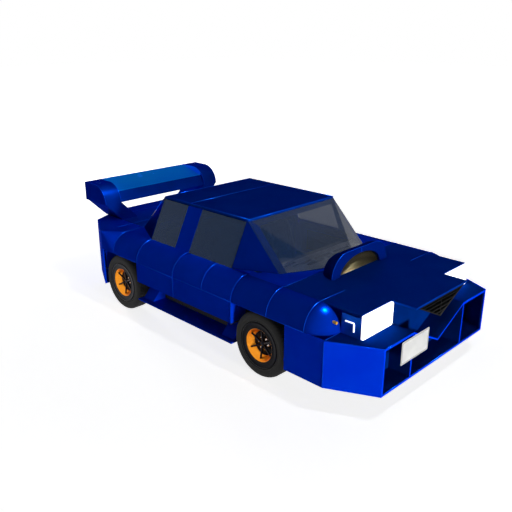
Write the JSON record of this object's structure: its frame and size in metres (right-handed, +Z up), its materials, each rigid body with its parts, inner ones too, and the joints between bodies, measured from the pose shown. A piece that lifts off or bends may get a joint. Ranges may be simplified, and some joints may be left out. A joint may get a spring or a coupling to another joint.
{
  "type": "sports sedan car",
  "caption": "Full-size four-door sports sedan with opening doors, hood and trunk lid, steered and rolling wheels, hood scoop and a high rear wing.",
  "frame": {"origin": "middle of the plan box, on the ground under the tyres", "axes": "+Z up; the nose points to -Y, so +X is the car's left side"},
  "size_m": [2.25, 4.5, 1.36],
  "materials": {
    "body_paint": "deep blue high-gloss paint",
    "underbody": "dark underbody paint",
    "glass": "dark tinted glass",
    "lamp_lens": "clear lens, lit white",
    "lamp_housing": "blue lamp body",
    "amber_lens": "amber lens",
    "red_lens": "red lens",
    "trim_black": "black moulded plastic",
    "plate_white": "blank white plate",
    "seat_fabric": "dark woven seat cover",
    "engine_metal": "cast metal",
    "chassis_steel": "dark steel",
    "exhaust_steel": "bare steel",
    "rim_metal": "gold painted alloy with dark spokes",
    "tyre": "black rubber"
  },
  "bodies": {
    "body": {"bulkheads": "underbody", "cabin_frame": "body_paint", "dashboard": "trim_black", "engine_block": "engine_metal", "exhaust": "exhaust_steel", "fixed_glass": "glass", "floor_pan": "underbody", "front_bumper": "body_paint", "front_fenders": "body_paint", "grille": "trim_black", "headlight_lenses": "lamp_lens", "headlights": "lamp_housing", "indicators": "amber_lens", "number_plate": "plate_white", "rear_bumper": "body_paint", "rear_quarters": "body_paint", "roof_panel": "body_paint", "seats": "seat_fabric", "side_skirts": "body_paint", "suspension": "chassis_steel", "tail_lamps": "red_lens", "wheelhouses": "underbody"},
    "hood": {"hood": "body_paint", "hood_scoop": "body_paint"},
    "trunk_lid": {"trunk_lid": "body_paint", "rear_wing": "body_paint"},
    "steering_wheel": {"steering_wheel": "trim_black"},
    "front_door_left": {"front_door_left": "body_paint", "front_glass_left": "glass"},
    "rear_door_left": {"rear_door_left": "body_paint", "rear_glass_left": "glass"},
    "knuckle_left": {"knuckle_left": "chassis_steel"},
    "front_wheel_left": {"front_rim_left": "rim_metal", "front_tyre_left": "tyre"},
    "rear_wheel_left": {"rear_rim_left": "rim_metal", "rear_tyre_left": "tyre"},
    "front_door_right": {"front_door_right": "body_paint", "front_glass_right": "glass"},
    "rear_door_right": {"rear_door_right": "body_paint", "rear_glass_right": "glass"},
    "knuckle_right": {"knuckle_right": "chassis_steel"},
    "front_wheel_right": {"front_rim_right": "rim_metal", "front_tyre_right": "tyre"},
    "rear_wheel_right": {"rear_rim_right": "rim_metal", "rear_tyre_right": "tyre"}
  },
  "joints": [
    {"name": "hood_hinge", "type": "hinge", "parent": "body", "child": "hood", "pos_m": [0, -1.119, 0.9], "axis": [-1, 0, 0], "range_deg": [0, 50]},
    {"name": "trunk_hinge", "type": "hinge", "parent": "body", "child": "trunk_lid", "pos_m": [0, 1.349, 0.9], "axis": [1, 0, 0], "range_deg": [0, 60]},
    {"name": "front_door_left_hinge", "type": "hinge", "parent": "body", "child": "front_door_left", "pos_m": [1.118, -0.654, 0.675], "axis": [0, 0, -1], "range_deg": [0, 65]},
    {"name": "rear_door_left_hinge", "type": "hinge", "parent": "body", "child": "rear_door_left", "pos_m": [1.118, 0.246, 0.675], "axis": [0, 0, -1], "range_deg": [0, 65]},
    {"name": "front_door_right_hinge", "type": "hinge", "parent": "body", "child": "front_door_right", "pos_m": [-1.118, -0.654, 0.675], "axis": [0, 0, 1], "range_deg": [0, 65]},
    {"name": "rear_door_right_hinge", "type": "hinge", "parent": "body", "child": "rear_door_right", "pos_m": [-1.118, 0.246, 0.675], "axis": [0, 0, 1], "range_deg": [0, 65]},
    {"name": "steer_right", "type": "hinge", "parent": "body", "child": "knuckle_right", "pos_m": [-1.001, -1.01, 0.33], "axis": [0, 0, 1], "range_deg": [-32, 32]},
    {"name": "steer_left", "type": "hinge", "parent": "body", "child": "knuckle_left", "pos_m": [1.001, -1.01, 0.33], "axis": [0, 0, 1], "range_deg": [-32, 32]},
    {"name": "steering_wheel_turn", "type": "hinge", "parent": "body", "child": "steering_wheel", "pos_m": [-0.39, -0.575, 0.75], "axis": [0, 0.9063, 0.4226], "range_deg": [-450, 450]},
    {"name": "front_wheel_left_spin", "type": "hinge", "parent": "knuckle_left", "child": "front_wheel_left", "pos_m": [1.001, -1.01, 0.33], "axis": [1, 0, 0], "continuous": true},
    {"name": "rear_wheel_left_spin", "type": "hinge", "parent": "body", "child": "rear_wheel_left", "pos_m": [1.001, 1.24, 0.33], "axis": [1, 0, 0], "continuous": true},
    {"name": "front_wheel_right_spin", "type": "hinge", "parent": "knuckle_right", "child": "front_wheel_right", "pos_m": [-1.001, -1.01, 0.33], "axis": [1, 0, 0], "continuous": true},
    {"name": "rear_wheel_right_spin", "type": "hinge", "parent": "body", "child": "rear_wheel_right", "pos_m": [-1.001, 1.24, 0.33], "axis": [1, 0, 0], "continuous": true}
  ],
  "couplings": [
    {"joint": "steer_left", "follows": "steer_right", "ratio": 1},
    {"joint": "steering_wheel_turn", "follows": "steer_right", "ratio": 14}
  ]
}
